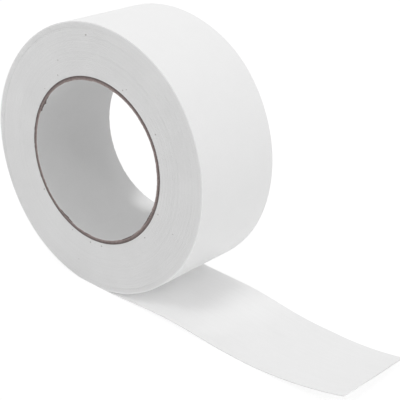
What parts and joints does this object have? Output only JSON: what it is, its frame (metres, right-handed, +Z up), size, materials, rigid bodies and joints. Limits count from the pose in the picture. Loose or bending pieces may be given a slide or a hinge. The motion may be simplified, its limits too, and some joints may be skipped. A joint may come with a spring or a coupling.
{
  "type": "roll of double-sided tape",
  "caption": "White double-sided tape wound on a spirally wound paper core, standing on its tread with a free tail lying on the surface and curling up at the cut end.",
  "frame": {"origin": "on the floor under the roll's axis, at the middle of the tape's width", "axes": "+X along the tail, +Y along the roll's axis, +Z up"},
  "size_m": [0.2088, 0.05, 0.1269],
  "materials": {
    "liner_paper": "satin",
    "adhesive": "satin",
    "carrier_film": "satin",
    "wound_side": "matte",
    "core_grey_paper": "matte",
    "core_kraft_board": "matte"
  },
  "bodies": {
    "web": {"release_liner": "liner_paper", "outer_adhesive": "adhesive", "carrier_film": "carrier_film", "inner_adhesive": "adhesive"},
    "roll": {"inner_turns": "wound_side", "core_inner_ply": "core_grey_paper", "core_kraft_ply_1": "core_kraft_board", "core_kraft_ply_2": "core_kraft_board", "core_kraft_ply_3": "core_kraft_board"}
  },
  "joints": [
    {"name": "roll_turn", "type": "hinge", "parent": "web", "child": "roll", "pos_m": [0, 0, 0.0635], "axis": [0, 1, 0], "continuous": true}
  ]
}
